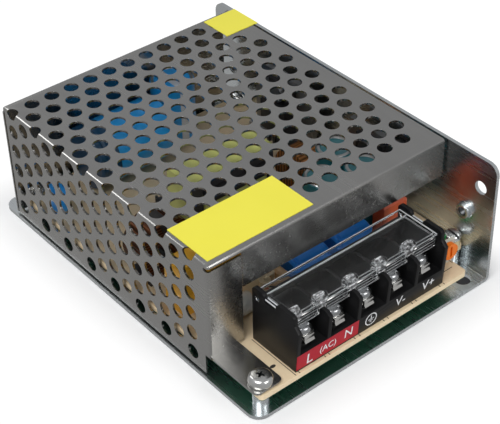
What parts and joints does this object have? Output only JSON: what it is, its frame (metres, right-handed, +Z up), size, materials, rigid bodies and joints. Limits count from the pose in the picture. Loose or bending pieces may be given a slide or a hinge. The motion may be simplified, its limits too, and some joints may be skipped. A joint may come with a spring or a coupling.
{
  "type": "enclosed power supply",
  "caption": "Switching power supply in a folded metal case: perforated cover over a board, screw terminals under a hinged clear lid.",
  "frame": {"origin": "middle of the underside of the base chassis", "axes": "+Z up, +X across the case to its plain wall, +Y along the case away from the terminals"},
  "size_m": [0.078, 0.11, 0.0362],
  "materials": {
    "base_steel": "bright zinc-plated sheet",
    "cover_steel": "satin galvanised sheet",
    "zinc": "bright plated",
    "board_tan": "paper laminate, green underside",
    "black_plastic": "moulded",
    "clear_plastic": "clear moulded",
    "pale_plastic": "plain",
    "orange_plastic": "plain",
    "green_plastic": "translucent",
    "fuse_ceramic": "glazed",
    "amber_plastic": "moulded",
    "ferrite": "dark sintered",
    "copper_wire": "enamelled",
    "blue_plastic": "shrunk sleeve",
    "teal_plastic": "shrunk sleeve",
    "red_plastic": "dipped",
    "yellow_tape": "polyester tape",
    "sink_aluminium": "plain",
    "resistor_coat": "banded",
    "white_plastic": "plain",
    "label_yellow": "glossy sticker"
  },
  "bodies": {
    "case": {"base_chassis": "base_steel", "perforated_cover": "cover_steel", "circuit_board": "board_tan", "board_standoffs": "zinc", "board_screws": "zinc", "screw_washers": "zinc", "cover_screw": "zinc", "front_label": "label_yellow", "seal_label": "label_yellow", "terminal_block": "black_plastic", "terminal_contacts": "zinc", "trimmer_body": "pale_plastic", "power_lamp": "green_plastic", "line_fuse": "fuse_ceramic", "filter_capacitor": "amber_plastic", "line_choke_core": "ferrite", "line_choke_windings": "copper_wire", "line_choke_foot": "black_plastic", "surge_varistor": "blue_plastic", "bridge_diodes": "black_plastic", "bulk_capacitor": "blue_plastic", "supply_capacitor": "blue_plastic", "transformer_core": "ferrite", "transformer_bobbin": "black_plastic", "transformer_winding": "yellow_tape", "transformer_tape": "yellow_tape", "primary_heatsink": "sink_aluminium", "secondary_heatsink": "sink_aluminium", "switching_transistor": "black_plastic", "output_rectifier": "black_plastic", "package_screws": "zinc", "safety_capacitor": "blue_plastic", "output_choke_core": "ferrite", "output_choke_winding": "copper_wire", "output_capacitors": "teal_plastic", "front_capacitors": "blue_plastic", "film_capacitor": "red_plastic", "snubber_capacitor": "amber_plastic", "standing_resistors": "resistor_coat", "controller_chip": "black_plastic", "optocoupler": "white_plastic"},
    "clamp_1": {"clamp_plate_1": "zinc"},
    "screw_1": {"terminal_screw_1": "zinc"},
    "clamp_2": {"clamp_plate_2": "zinc"},
    "screw_2": {"terminal_screw_2": "zinc"},
    "clamp_3": {"clamp_plate_3": "zinc"},
    "screw_3": {"terminal_screw_3": "zinc"},
    "clamp_4": {"clamp_plate_4": "zinc"},
    "screw_4": {"terminal_screw_4": "zinc"},
    "clamp_5": {"clamp_plate_5": "zinc"},
    "screw_5": {"terminal_screw_5": "zinc"},
    "lid": {"terminal_lid": "clear_plastic"},
    "trimmer": {"trimmer_rotor": "orange_plastic"}
  },
  "joints": [
    {"name": "clamp_lift_1", "type": "slide", "parent": "case", "child": "clamp_1", "axis": [0, 0, 1], "range_m": [0, 0.0015]},
    {"name": "screw_turn_1", "type": "hinge", "parent": "clamp_1", "child": "screw_1", "pos_m": [-0.02095, -0.0498, 0.0156], "axis": [0, 0, 1], "range_deg": [0, 1080]},
    {"name": "clamp_lift_2", "type": "slide", "parent": "case", "child": "clamp_2", "axis": [0, 0, 1], "range_m": [0, 0.0015]},
    {"name": "screw_turn_2", "type": "hinge", "parent": "clamp_2", "child": "screw_2", "pos_m": [-0.01145, -0.0498, 0.0156], "axis": [0, 0, 1], "range_deg": [0, 1080]},
    {"name": "clamp_lift_3", "type": "slide", "parent": "case", "child": "clamp_3", "axis": [0, 0, 1], "range_m": [0, 0.0015]},
    {"name": "screw_turn_3", "type": "hinge", "parent": "clamp_3", "child": "screw_3", "pos_m": [-0.00195, -0.0498, 0.0156], "axis": [0, 0, 1], "range_deg": [0, 1080]},
    {"name": "clamp_lift_4", "type": "slide", "parent": "case", "child": "clamp_4", "axis": [0, 0, 1], "range_m": [0, 0.0015]},
    {"name": "screw_turn_4", "type": "hinge", "parent": "clamp_4", "child": "screw_4", "pos_m": [0.00755, -0.0498, 0.0156], "axis": [0, 0, 1], "range_deg": [0, 1080]},
    {"name": "clamp_lift_5", "type": "slide", "parent": "case", "child": "clamp_5", "axis": [0, 0, 1], "range_m": [0, 0.0015]},
    {"name": "screw_turn_5", "type": "hinge", "parent": "clamp_5", "child": "screw_5", "pos_m": [0.01705, -0.0498, 0.0156], "axis": [0, 0, 1], "range_deg": [0, 1080]},
    {"name": "lid_hinge", "type": "hinge", "parent": "case", "child": "lid", "pos_m": [-0.00195, -0.0402, 0.0212], "axis": [-1, 0, 0], "range_deg": [0, 80]},
    {"name": "trimmer_turn", "type": "hinge", "parent": "case", "child": "trimmer", "pos_m": [0.02865, -0.0492, 0.0121], "axis": [0, -1, 0], "range_deg": [-105, 105]}
  ],
  "couplings": [
    {"joint": "screw_turn_1", "follows": "clamp_lift_1", "rad_per_m": 12566},
    {"joint": "screw_turn_2", "follows": "clamp_lift_2", "rad_per_m": 12566},
    {"joint": "screw_turn_3", "follows": "clamp_lift_3", "rad_per_m": 12566},
    {"joint": "screw_turn_4", "follows": "clamp_lift_4", "rad_per_m": 12566},
    {"joint": "screw_turn_5", "follows": "clamp_lift_5", "rad_per_m": 12566}
  ]
}
